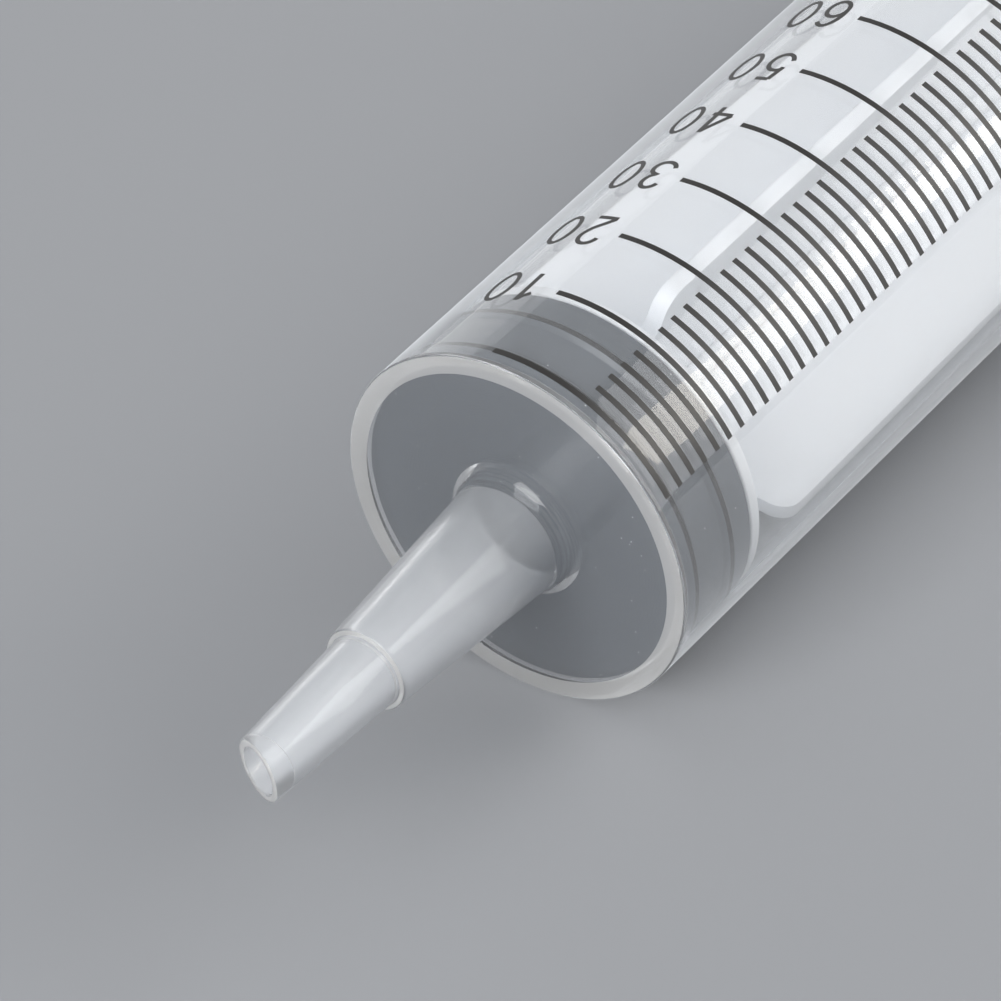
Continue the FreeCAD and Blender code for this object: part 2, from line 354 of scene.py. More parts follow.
def handling_group() -> bpy.types.NodeTree:
    """Return the group for faint handling marks: uneven gloss, fine dust specks and a low ripple.

    Returns:
        A group with inputs Scale, Gloss Low, Gloss High and Speck Share. Its outputs are Gloss, Specks and
        Ripple.
    """
    build = group_tree(
        "handling_marks",
        {"Scale": 60.0, "Gloss Low": 0.05, "Gloss High": 0.15, "Speck Share": 0.1},
        ("Gloss", "Specks", "Ripple"),
    )
    given = build.tree.nodes["Group Input"].outputs
    spot = build.add("ShaderNodeTexCoord").outputs["Object"]
    cloud = build.add("ShaderNodeTexNoise", {
        "Vector": spot, "Scale": given["Scale"], "Detail": 4.0, "Roughness": 0.6})
    gloss = build.add("ShaderNodeMapRange", {
        "Value": cloud.outputs["Fac"], "From Min": 0.3, "From Max": 0.7,
        "To Min": given["Gloss Low"], "To Max": given["Gloss High"]})
    cells = build.add("ShaderNodeTexVoronoi", {
        "Vector": spot, "Scale": 900.0, "Randomness": 1.0}, feature="F1")
    dust = build.add("ShaderNodeMapRange", {
        "Value": cells.outputs["Distance"], "From Min": 0.075, "From Max": 0.03,
        "To Min": 0.0, "To Max": 1.0})
    rare = build.add("ShaderNodeTexNoise", {"Vector": spot, "Scale": 420.0, "Detail": 1.0})
    keep = build.figure("LESS_THAN", rare.outputs["Fac"], given["Speck Share"])
    swell = build.add("ShaderNodeTexNoise", {"Vector": spot, "Scale": 45.0, "Detail": 2.0})
    build.feed(build.tree.nodes["Group Output"], {
        "Gloss": gloss.outputs["Result"],
        "Specks": build.figure("MULTIPLY", dust.outputs["Result"], keep),
        "Ripple": swell.outputs["Fac"],
    })
    return build.tree


def turning_group(axis: SyringeAxis) -> bpy.types.NodeTree:
    """Return the group for the fine rings that a turned mould leaves about the axis.

    Args:
        axis: The syringe's axis.

    Returns:
        A group with input Pitch, in millimetres, and outputs Rings and Near Rings. Near Rings are those round
        the tip's root, and fade outwards.
    """
    build = group_tree("turning_rings", {"Pitch": 0.25}, ("Rings", "Near Rings"))
    pitch = build.tree.nodes["Group Input"].outputs["Pitch"]
    spot = build.add("ShaderNodeTexCoord").outputs["Object"]
    front = (axis.front_x, 0.0, axis.height)
    shift = build.add("ShaderNodeVectorMath", {0: spot, 1: front}, operation="SUBTRACT")
    parts = build.add("ShaderNodeSeparateXYZ", {"Vector": shift.outputs["Vector"]}).outputs
    across = build.add("ShaderNodeCombineXYZ", {"X": parts["Y"], "Y": parts["Z"]}).outputs["Vector"]
    reach = build.add("ShaderNodeVectorMath", {0: across}, operation="LENGTH").outputs["Value"]
    rate = build.figure("DIVIDE", 2 * math.pi / MM, pitch)
    wave = build.figure("SINE", build.figure("MULTIPLY", reach, rate))
    fade = build.add("ShaderNodeTexNoise", {"Vector": spot, "Scale": 130.0, "Detail": 3.0})
    rings = build.figure("MULTIPLY", wave, fade.outputs["Fac"])
    close = build.add("ShaderNodeMapRange", {"Value": reach, "From Min": 13.5 * MM, "From Max": 8.0 * MM})
    near = build.figure("MULTIPLY", rings, close.outputs["Result"], clamp=True)
    build.feed(build.tree.nodes["Group Output"], {"Rings": rings, "Near Rings": near})
    return build.tree


@dataclass(frozen=True)
class EffectGroups:
    """The node groups that the finishes share."""

    handling: bpy.types.NodeTree
    turning: bpy.types.NodeTree


@dataclass(frozen=True)
class Finish:
    """Sizes of the effects that every finish of the syringe shares. Rings in millimetres."""

    colour: Colour
    gloss_low: float
    gloss_high: float
    speck_share: float = 0.22
    ring_pitch: float = 0.45
    ring_depth: float = 0.004
    relief: float = 0.35
    dust: Colour = (0.92, 0.92, 0.90)

    def start(self, name: str, groups: EffectGroups) -> tuple[
            bpy.types.Material, NodeBuilder, bpy.types.Node]:
        """Return a material with its Principled shader, its colour, its uneven gloss and its fine relief.

        Args:
            name: Name of the material.
            groups: The shared effect groups.

        Returns:
            The material, its builder and its Principled node.
        """
        material = bpy.data.materials.new(name)
        material.use_nodes = True
        build = NodeBuilder(material.node_tree)
        shader = material.node_tree.nodes["Principled BSDF"]
        marks = build.add("ShaderNodeGroup", {
            "Gloss Low": self.gloss_low, "Gloss High": self.gloss_high, "Speck Share": self.speck_share,
        }, node_tree=groups.handling).outputs
        rings = build.add("ShaderNodeGroup", {
            "Pitch": self.ring_pitch,
        }, name="Rings", node_tree=groups.turning)
        height = build.figure("ADD", marks["Ripple"], rings.outputs["Rings"])
        bump = build.add("ShaderNodeBump", {
            "Height": height, "Strength": self.relief, "Distance": self.ring_depth * MM})
        build.feed(shader, {
            "Base Color": build.blend(marks["Specks"], (*self.colour, 1.0), (*self.dust, 1.0)),
            "Roughness": marks["Gloss"],
            "Normal": bump.outputs["Normal"],
        })
        return material, build, shader


@dataclass(frozen=True)
class ClearPlastic(Finish):
    """Clear moulded plastic with a little milk in it, that lets the lamps shine through."""

    clearness: float = 0.9
    lamp_share: float = 0.85
    ring_shade: float = 0.0
    haze: float = 0.0
    haze_spread: float = 0.35
    haze_tint: Colour = (0.94, 0.97, 1.0)
    shade: Colour = (0.10, 0.11, 0.12)
    bending: float = 1.49

    def material(self, name: str, groups: EffectGroups) -> bpy.types.Material:
        """Return the clear material.

        Args:
            name: Name of the material.
            groups: The shared effect groups.

        Returns:
            The material.
        """
        material, build, shader = self.start(name, groups)
        if self.ring_shade > 0:
            self.shade_rings(build, shader)
        build.feed(shader, {
            "Transmission Weight": self.clearness,
            "IOR": self.bending,
            "Sheen Weight": self.haze,
            "Sheen Roughness": self.haze_spread,
            "Sheen Tint": (*self.haze_tint, 1.0),
        })
        ray = build.add("ShaderNodeLightPath")
        passing = build.add("ShaderNodeBsdfTransparent")
        mixed = build.add("ShaderNodeMixShader", {
            "Fac": build.figure("MULTIPLY", ray.outputs["Is Shadow Ray"], self.lamp_share),
            1: shader.outputs["BSDF"],
            2: passing.outputs["BSDF"],
        })
        build.feed(material.node_tree.nodes["Material Output"], {"Surface": mixed.outputs["Shader"]})
        return material

    def shade_rings(self, build: NodeBuilder, shader: bpy.types.Node) -> None:
        """Darken the colour in the turned rings.

        Args:
            build: The material's builder.
            shader: The Principled node.
        """
        plain = shader.inputs["Base Color"].links[0].from_socket
        near = build.tree.nodes["Rings"].outputs["Near Rings"]
        share = build.figure("MULTIPLY", near, self.ring_shade, clamp=True)
        build.feed(shader, {"Base Color": build.blend(share, plain, (*self.shade, 1.0))})


@dataclass(frozen=True)
class SolidFinish(Finish):
    """Opaque plastic, rubber or ink. Milk depth in millimetres."""

    coat: float = 0.0
    coat_gloss: float = 0.12
    milk: float = 0.0
    milk_depth: float = 1.6
    shine: float = 0.5

    def material(self, name: str, groups: EffectGroups) -> bpy.types.Material:
        """Return the opaque material.

        Args:
            name: Name of the material.
            groups: The shared effect groups.

        Returns:
            The material.
        """
        material, build, shader = self.start(name, groups)
        build.feed(shader, {
            "Specular IOR Level": self.shine,
            "Coat Weight": self.coat,
            "Coat Roughness": self.coat_gloss,
            "Subsurface Weight": self.milk,
            "Subsurface Radius": (1.0, 1.0, 1.0),
            "Subsurface Scale": self.milk_depth * MM,
        })
        return material


@dataclass(frozen=True)
class Finishes:
    """Every finish of the syringe."""

    tube: ClearPlastic = ClearPlastic(
        (0.975, 0.985, 0.997), gloss_low=0.02, gloss_high=0.06, ring_depth=0.002,
        clearness=0.935, haze=1.0)
    # A whiter, less clear copy of the barrel's plastic for the wall's front end and the tip's narrow front
    # faces: the plastic's own haze plus painted light for the light that the walls carry to these faces.
    rim: ClearPlastic = ClearPlastic(
        (0.97, 0.965, 0.955), gloss_low=0.06, gloss_high=0.12, clearness=0.52)
    plate: ClearPlastic = ClearPlastic(
        (0.97, 0.98, 0.99), gloss_low=0.01, gloss_high=0.05, speck_share=0.46, ring_pitch=0.28,
        ring_depth=0.003, clearness=0.93, ring_shade=0.4)
    passage: ClearPlastic = ClearPlastic(
        (0.96, 0.975, 0.995), gloss_low=0.05, gloss_high=0.11, clearness=0.64, lamp_share=0.80)
    skin: ClearPlastic = ClearPlastic(
        (0.96, 0.975, 0.995), gloss_low=0.10, gloss_high=0.18, speck_share=0.30,
        clearness=0.93, lamp_share=0.80, haze=0.3)
    ink: SolidFinish = SolidFinish(
        (0.035, 0.033, 0.031), gloss_low=0.30, gloss_high=0.45, speck_share=0.0, ring_pitch=0.3,
        ring_depth=0.002)
    rubber: SolidFinish = SolidFinish(
        (0.088, 0.103, 0.123), gloss_low=0.30, gloss_high=0.45, speck_share=0.50, ring_pitch=0.35,
        ring_depth=0.01, coat=0.1)
    # Near black, far darker than the rubber itself: painted shade for the dark lines where the stopper's
    # crests press on the bore.
    pressed: SolidFinish = SolidFinish(
        (0.006, 0.007, 0.009), gloss_low=0.45, gloss_high=0.60, speck_share=0.1, ring_pitch=0.35,
        ring_depth=0.01, shine=0.1)
    rod: SolidFinish = SolidFinish(
        (0.915, 0.94, 0.975), gloss_low=0.28, gloss_high=0.42, speck_share=0.2, ring_pitch=0.8,
        ring_depth=0.006, milk=0.4)


# Barrel


@dataclass
class Barrel:
    """The clear barrel: tube, end plate, stepped tip with a slanted mouth, bead and finger flange.

    Sizes are in millimetres. The lip, the flange's edge and its root are short curves, given as pairs. The
    splits are the places of rings that only divide a long straight run.
    """

    lathe: Lathe
    length: float = 124.0
    outer_radius: float = 19.35
    bore_radius: float = 17.75
    plate_thickness: float = 1.4
    front_edge: float = 0.25
    rim_from: float = 17.3
    rim_depth: float = 0.02
    rim_facing: float = 0.8
    root_radius: float = 6.2
    root_taper: float = 4.14
    root_wall: float = 1.2
    root_fillet: float = 2.0
    fillet_steps: int = 8
    flare_start: float = -1.2
    flare_radius: float = 7.0
    step_x: float = -23.5
    tip_radius: float = 3.9
    tip_taper: float = 2.8
    tip_length: float = 16.2
    tip_wall: float = 0.9
    mouth_radius: float = 2.31
    mouth_slant: float = 22.0
    land_length: float = 1.85
    land_step: float = 0.1
    lip_inside: tuple[Point, ...] = ((0.0, 0.35), (0.0, 0.12), (0.04, 0.04), (0.12, 0.0))
    lip_outside: tuple[Point, ...] = ((0.28, 0.0), (0.14, 0.04), (0.04, 0.13), (0.0, 0.28))
    bead_from_mouth: float = 8.0
    bead_width: float = 2.2
    bead_height: float = 0.4
    bead_flat: float = 0.6
    rear_chamfer: float = 0.7
    rear_margin: float = 0.9
    flange_half_span: float = 31.0
    flange_thickness: float = 2.5
    flange_corner: float = 3.0
    flange_edge: float = 0.5
    flange_edge_curve: tuple[Point, ...] = ((0.0, 1.0), (0.13, 0.5), (0.5, 0.13), (1.0, 0.0))
    flange_root: float = 1.2
    flange_root_curve: tuple[Point, ...] = ((0.55, 0.12), (0.2, 0.42), (0.0, 1.0))
    rib_count: int = 3
    rib_pitch: float = 2.6
    rib_width: float = 1.1
    rib_height: float = 0.5
    rib_inset: float = 2.4
    rib_sunk: float = 0.4
    rib_edge: float = 0.3
    cone_split: float = 6.0
    land_split: float = 0.3
    plate_split: float = 12.0
    front_split: float = 3.0
    bore_split: float = 60.0
    rear_split: float = 40.0

    def root_at(self, x: float) -> float:
        """Return the outer radius of the root cone at x."""
        return self.root_radius + x * math.tan(math.radians(self.root_taper))

    def tip_at(self, x: float) -> float:
        """Return the outer radius of the tip cone at x."""
        return self.tip_radius + (x - self.step_x) * math.tan(math.radians(self.tip_taper))

    def passage_middle(self, x: float) -> float:
        """Return the radius of the middle of the tip's wall at x."""
        at_root = x > self.step_x
        return self.root_at(x) - self.root_wall / 2 if at_root else self.tip_at(x) - self.tip_wall / 2

    def mouth_ring(self, inset: float, back: float) -> Ring:
        """Return a ring near the slanted mouth on the outside of the tip cone.

        Args:
            inset: How far the ring lies inside the cone.
            back: How far the ring lies behind the plane of the mouth.

        Returns:
            A function of the angle that gives the ring's x and radius.
        """
        slope = math.tan(math.radians(self.tip_taper))
        lean = math.tan(math.radians(self.mouth_slant))
        mouth_x = self.step_x - self.tip_length
        base = self.tip_radius - self.step_x * slope - inset

        def ring(angle: float) -> Point:
            """Return x and radius at this angle."""
            x = (mouth_x + back - lean * math.sin(angle) * base) / (1 + lean * math.sin(angle) * slope)
            return x, base + slope * x

        return ring

    def bore_ring(self, radius: float, back: float) -> Ring:
        """Return a ring of constant radius that follows the slanted mouth.

        Args:
            radius: Radius of the ring.
            back: How far the ring lies behind the plane of the mouth.

        Returns:
            A function of the angle that gives the ring's x and radius.
        """
        lean = math.tan(math.radians(self.mouth_slant))
        mouth_x = self.step_x - self.tip_length
        return lambda angle: (mouth_x + back - lean * radius * math.sin(angle), radius)

    def flange_reach(self, angle: float) -> float:
        """Return how far the flange's outline lies from the axis.

        Args:
            angle: Angle from straight up, in radians.

        Returns:
            The distance: round at the wings' ends, flat on top and below, with round corners between.
        """
        across = abs(math.sin(angle))
        up = abs(math.cos(angle))
        corner_up = self.outer_radius - self.flange_corner
        corner_across = math.sqrt((self.flange_half_span - self.flange_corner) ** 2 - corner_up ** 2)
        round_from = math.atan2(corner_up, corner_across)
        flat_from = math.atan2(self.outer_radius, corner_across)
        direction = math.atan2(up, across)
        if direction <= round_from:
            return self.flange_half_span
        if direction >= flat_from:
            return self.outer_radius / up
        along = corner_across * across + corner_up * up
        gap = corner_across ** 2 + corner_up ** 2 - self.flange_corner ** 2
        return along + math.sqrt(along ** 2 - gap)

    def flange_ring(self, x: float, inset: float) -> Ring:
        """Return a ring on the flange's outline, set in by inset but never inside the tube."""
        return lambda angle: (x, max(self.outer_radius, self.flange_reach(angle) - inset))

    def collar_ring(self, x: float, rise: float) -> Ring:
        """Return a ring of the flange's root, rise outside the tube but never outside the flange."""
        return lambda angle: (x, min(self.outer_radius + rise, max(
            self.outer_radius, self.flange_reach(angle) - self.flange_edge)))

    def mouth_outline(self) -> list[Ring]:
        """Return the lip of the slanted mouth, from the passage to the outside."""
        inside = [self.bore_ring(self.mouth_radius + out, back) for out, back in self.lip_inside]
        return inside + [self.mouth_ring(inset, back) for inset, back in self.lip_outside]

    def front_outline(self) -> list[Point]:
        """Return the outside from the tip over its root and the end plate to the tube.

        Returns:
            The points of the outline.
        """
        tip_split = self.step_x - self.cone_split
        shoulder = softened([
            (tip_split, self.tip_at(tip_split), 0.0),
            (self.step_x, self.tip_radius, 0.15),
            (self.step_x, self.root_at(self.step_x), 0.32),
            (-self.cone_split, self.root_at(-self.cone_split), 0.0),
        ])
        fillet_radius = self.root_at(-self.root_fillet)
        fillet = []
        for step in range(self.fillet_steps + 1):
            turn = math.radians(90 * step / self.fillet_steps)
            fillet.append((
                -self.root_fillet + self.root_fillet * math.sin(turn),
                fillet_radius + self.root_fillet * (1 - math.cos(turn)),
            ))
        rim = softened([
            (0.0, self.plate_split, 0.0),
            (0.0, self.rim_from, 0.0),
            (0.0, self.outer_radius, self.front_edge),
            (self.front_split, self.outer_radius, 0.0),
        ])
        return shoulder + fillet + rim

    def flange_outline(self) -> list[Point | Ring]:
        """Return the outside of the tube's rear and the flange.

        Returns:
            The points and rings of the outline.
        """
        front = self.length - self.flange_thickness
        edge, root = self.flange_edge, self.flange_root
        tube = [(front - self.rear_split, self.outer_radius), (front - root, self.outer_radius)]
        collar = [self.collar_ring(front - back * root, rise * root) for back, rise in self.flange_root_curve]
        curve = self.flange_edge_curve
        ahead = [self.flange_ring(front + along * edge, inset * edge) for along, inset in curve]
        behind = [self.flange_ring(self.length - along * edge, inset * edge) for along, inset in curve[::-1]]
        return tube + collar + ahead + behind

    def inside_outline(self) -> list[Point]:
        """Return the inside, from the rear end over the bead and the end plate to the land behind the mouth.

        Returns:
            The points of the outline.
        """
        bead = self.length - self.bead_from_mouth
        bead_top = self.bore_radius - self.bead_height
        land_x = self.step_x - self.tip_length + self.land_length
        return softened([
            (self.length, self.bore_radius + self.rear_margin, 0.0),
            (self.length, self.bore_radius + self.rear_chamfer, 0.15),
            (self.length - self.rear_chamfer, self.bore_radius, 0.25),
            (bead + self.bead_width / 2, self.bore_radius, 0.5),
            (bead + self.bead_flat / 2, bead_top, 0.4),
            (bead - self.bead_flat / 2, bead_top, 0.4),
            (bead - self.bead_width / 2, self.bore_radius, 0.5),
            (self.bore_split, self.bore_radius, 0.0),
            (self.plate_thickness, self.bore_radius, 0.06),
            (self.plate_thickness, self.plate_split, 0.0),
            (self.plate_thickness, self.flare_radius, 0.15),
            (self.flare_start, self.root_at(self.flare_start) - self.root_wall, 0.05),
            (self.step_x, self.root_at(self.step_x) - self.root_wall, 0.12),
            (self.step_x, self.tip_radius - self.tip_wall, 0.12),
            (land_x, self.mouth_radius + self.land_step, 0.04),
            (land_x, self.mouth_radius, 0.04),
            (land_x - self.land_split, self.mouth_radius, 0.0),
        ])

    def grip_ribs(self) -> bpy.types.Object:
        """Return the upright ribs on the finger side of both wings.

        Returns:
            One object with all the ribs.
        """
        mesh = bmesh.new()
        front = self.length - self.flange_thickness
        place = self.lathe.axis.place
        for number in range(self.rib_count):
            middle = self.flange_half_span - self.rib_inset - number * self.rib_pitch
            wing = math.sqrt(self.flange_half_span ** 2 - middle ** 2)
            reach = min(wing, self.outer_radius) - self.rib_inset
            for side in (-1, 1):
                low = Vector((0.0, side * middle - self.rib_width / 2, -reach)) * MM
                high = Vector((0.0, side * middle + self.rib_width / 2, reach)) * MM
                low += place(front - self.rib_height)
                high += place(front + self.rib_sunk)
                soft_bar(mesh, low, high, self.rib_edge * MM)
        return object_from("flange_grip_ribs", mesh)

    def build(self) -> bpy.types.Object:
        """Return the whole barrel.

        Returns:
            One closed mesh, from the mouth of the tip round the outside and back through the bore.
        """
        outline = self.mouth_outline() + self.front_outline() + self.flange_outline() + self.inside_outline()
        barrel = self.lathe.turn("barrel_moulding", outline)
        joined(barrel, self.grip_ribs())
        return barrel

    def region(self, face: bpy.types.MeshPolygon) -> Region:
        """Return the region of the barrel that a face lies in.

        Args:
            face: A face of the barrel.

        Returns:
            The rim, which is the front end of the tube's wall and the tip's narrow front faces and gets a
            whiter plastic as painted light, or else the passage through the tip, the outside of the end
            plate, the tip's skin, or the tube and flange.
        """
        x = (face.center.x - self.lathe.axis.front_x) / MM
        radius = self.lathe.axis.radius_of(face.center)
        crosswise = abs(face.normal.x) > self.rim_facing
        # These faces get the whiter rim plastic: the plastic's haze plus painted light for light carried
        # along the walls.
        if crosswise and (x < -self.root_fillet or radius > self.rim_from and x < self.rim_depth):
            return Region.RIM
        if x < self.flare_start and radius < self.passage_middle(x):
            return Region.PASSAGE
        if -self.root_fillet < x < self.rim_depth:
            return Region.PLATE
        return Region.SKIN if x < self.rim_depth else Region.TUBE

    def dress(self, barrel: bpy.types.Object, plastics: dict[Region, bpy.types.Material]) -> None:
        """Give the regions of the barrel their materials and put the barrel on its body.

        Args:
            barrel: The barrel's object.
            plastics: The material of each region.
        """
        barrel.data.materials.clear()
        for region in Region:
            barrel.data.materials.append(plastics[region])
        for face in barrel.data.polygons:
            face.material_index = self.region(face).value
        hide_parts("barrel")
        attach(barrel, Body.BARREL.value)


# Printed scale


def bow(cx: float, cy: float, rx: float, ry: float, start: float, end: float, steps: int) -> list[Point]:
    """Return points of an oval arc about (cx, cy) between two angles in degrees."""
    turns = [math.radians(start + (end - start) * step / steps) for step in range(steps + 1)]
    return [(cx + rx * math.cos(turn), cy + ry * math.sin(turn)) for turn in turns]


@dataclass
class ScalePrint:
    """Numerals of the printed scale, drawn as strokes and laid round the barrel. Millimetres and degrees."""

    axis: SyringeAxis
    surface_radius: float = 19.35
    ink_thickness: float = 0.03
    ink_step: float = 0.35
    ink_crease: float = 50.0
    zero_x: float = 1.95
    millimetres_per_ml: float = 1.0103
    step_ml: int = 10
    full_ml: int = 100
    text_angle: float = -9.4
    digit_height: float = 5.05
    digit_width: float = 2.85
    digit_pitch: float = 3.75
    stroke: float = 0.5

    def strokes(self, digit: str) -> list[list[Point]]:
        """Return the centre lines of one digit in a box one wide and one high.

        Args:
            digit: The digit.

        Returns:
            A list of strokes, each a list of points.
        """
        shapes = {
            "0": [bow(0.5, 0.5, 0.5, 0.5, 90, 450, 48)],
            "1": [[(0.68, 0.0), (0.68, 1.0)], [(0.68, 0.98), (0.52, 0.83), (0.26, 0.71)]],
            "2": [bow(0.49, 0.72, 0.45, 0.28, 172, -22, 22) + [(0.72, 0.42), (0.30, 0.18), (0.06, 0.02)],
                  [(0.0, 0.0), (0.97, 0.0)]],
            "3": [bow(0.45, 0.745, 0.40, 0.255, 165, -90, 24)
                  + bow(0.45, 0.245, 0.50, 0.245, 90, -165, 26)[1:]],
            "4": [[(0.76, 0.0), (0.76, 1.0)], [(0.76, 0.99), (0.02, 0.29)], [(0.0, 0.27), (1.0, 0.27)]],
            "5": [[(0.88, 1.0), (0.24, 1.0)],
                  [(0.25, 1.0), (0.12, 0.50)] + bow(0.45, 0.325, 0.50, 0.325, 128, -160, 28)],
            "6": [bow(0.54, 0.46, 0.52, 0.54, 48, 180, 20) + bow(0.51, 0.31, 0.47, 0.31, 180, 540, 40)],
            "7": [[(0.0, 1.0), (1.0, 1.0)], [(0.98, 0.99), (0.62, 0.55), (0.42, 0.0)]],
            "8": [bow(0.5, 0.755, 0.41, 0.245, 0, 360, 40), bow(0.5, 0.255, 0.49, 0.255, 0, 360, 44)],
            "9": [bow(0.46, 0.54, 0.52, 0.54, -132, 0, 20) + bow(0.49, 0.69, 0.47, 0.31, 0, 360, 40)],
        }
        return shapes[digit]

    def ribbon(self, mesh: bmesh.types.BMesh, line: list[Point], left: float, bottom_x: float) -> None:
        """Add one inked stroke, bent round the barrel.

        Args:
            mesh: The bmesh that gets the stroke.
            line: Centre line of the stroke in the digit's box.
            left: Distance round the barrel of the box's left side, from straight up towards +Y.
            bottom_x: Place along the axis of the box's foot.
        """
        wide = self.digit_width - self.stroke
        high = self.digit_height - self.stroke
        points = [Vector((u * wide + self.stroke / 2, v * high + self.stroke / 2)) for u, v in line]
        fine: list[Vector] = []
        for here, after in zip(points, points[1:]):
            parts = max(1, round((after - here).length / self.ink_step))
            fine += [here.lerp(after, part / parts) for part in range(parts)]
        fine.append(points[-1])
        loop = (points[0] - points[-1]).length < 1e-6
        rows: list[list[bmesh.types.BMVert]] = []
        for index, here in enumerate(fine):
            before = fine[index - 1] if index else (fine[-2] if loop else here)
            after = fine[index + 1] if index < len(fine) - 1 else (fine[1] if loop else here)
            way = (after - before).normalized()
            side = Vector((-way.y, way.x)) * self.stroke / 2
            row = []
            for sign, lift in ((1, 0.0), (1, self.ink_thickness), (-1, self.ink_thickness), (-1, 0.0)):
                spot = here + side * sign
                angle = -(left + spot.x) / self.surface_radius
                place = self.axis.place(bottom_x - spot.y, self.surface_radius + lift, angle)
                row.append(mesh.verts.new(place))
            rows.append(row)
        for near, far in zip(rows, rows[1:]):
            for corner in range(4):
                after = (corner + 1) % 4
                mesh.faces.new((near[corner], near[after], far[after], far[corner]))
        if not loop:
            mesh.faces.new(rows[0][::-1])
            mesh.faces.new(rows[-1])

    def build(self) -> bpy.types.Object:
        """Return all the numerals.

        Returns:
            One object with every stroke.
        """
        mesh = bmesh.new()
        start = -math.radians(self.text_angle) * self.surface_radius
        for volume in range(self.step_ml, self.full_ml + 1, self.step_ml):
            foot = self.zero_x + volume * self.millimetres_per_ml + self.digit_height / 2
            for place, digit in enumerate(str(volume)):
                for line in self.strokes(digit):
                    self.ribbon(mesh, line, start + place * self.digit_pitch, foot)
        bmesh.ops.recalc_face_normals(mesh, faces=mesh.faces)
        return object_from("scale_numbers", mesh, self.ink_crease)

    def dress(self, numerals: bpy.types.Object, ink: bpy.types.Material) -> None:
        """Ink the numerals and the lines and put the numerals on the barrel's body.

        Args:
            numerals: The numerals' object.
            ink: Material of the print.
        """
        numerals.data.materials.append(ink)
        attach(numerals, Body.BARREL.value)
        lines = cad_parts["scale_lines"]
        lines.data.materials.clear()
        lines.data.materials.append(ink)


# Stopper


@dataclass
class Stopper:
    """The rubber stopper with its two sealing crests and the undercut for the rod's head. Millimetres."""

    lathe: Lathe
    front: float = 1.55
    length: float = 11.0
    seal_radius: float = 17.7
    relief: float = 0.3
    relief_length: float = 1.15
    crest_width: float = 0.55
    flank: float = 0.5
    waist_depth: float = 0.5
    rear_seal: float = 7.2
    face_thickness: float = 3.8
    pressed_depth: float = 0.12
    neck_radius: float = 10.28
    head_radius: float = 12.28
    head_room: float = 2.4

    def outline(self) -> list[Point]:
        """Return the outline from the middle of the front face to the middle of the cavity.

        Returns:
            The points of the outline.
        """
        crest = self.front + self.relief_length
        rear = self.front + self.rear_seal
        back = self.front + self.length
        half = self.crest_width / 2
        waist = self.seal_radius - self.waist_depth
        cavity = self.front + self.face_thickness
        return softened([
            (self.front, 0.0, 0.0),
            (self.front, self.seal_radius - self.relief, 0.12),
            (crest, self.seal_radius, 0.15),
            (crest + self.crest_width, self.seal_radius, 0.15),
            (crest + self.crest_width + self.flank, waist, 0.3),
            (rear - half - self.flank, waist, 0.3),
            (rear - half, self.seal_radius, 0.15),
            (rear + half, self.seal_radius, 0.15),
            (rear + half + self.flank, waist, 0.3),
            (back, waist, 0.3),
            (back, self.neck_radius, 0.2),
            (cavity + self.head_room, self.neck_radius, 0.1),
            (cavity + self.head_room, self.head_radius, 0.15),
            (cavity, self.head_radius, 0.2),
            (cavity, 0.0, 0.0),
        ])

    def build(self) -> bpy.types.Object:
        """Return the stopper as a closed mesh."""
        return self.lathe.turn("stopper_moulding", self.outline(), closed=False)

    def dress(self, stopper: bpy.types.Object, rubber: bpy.types.Material,
              pressed: bpy.types.Material) -> None:
        """Give the stopper its rubber and put it on its body.

        Args:
            stopper: The stopper's object.
            rubber: Material of the free surfaces.
            pressed: Material of the crests, where they press on the bore: near-black painted shade for the
                dark contact lines.
        """
        stopper.data.materials.append(rubber)
        stopper.data.materials.append(pressed)
        for face in stopper.data.polygons:
            # Crest faces this close to the bore get the near-black painted shade of the contact lines.
            contact_shaded = self.lathe.axis.radius_of(face.center) > self.seal_radius - self.pressed_depth
            face.material_index = 1 if contact_shaded else 0
        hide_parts("stopper")
        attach(stopper, Body.STOPPER.value)


# Plunger rod


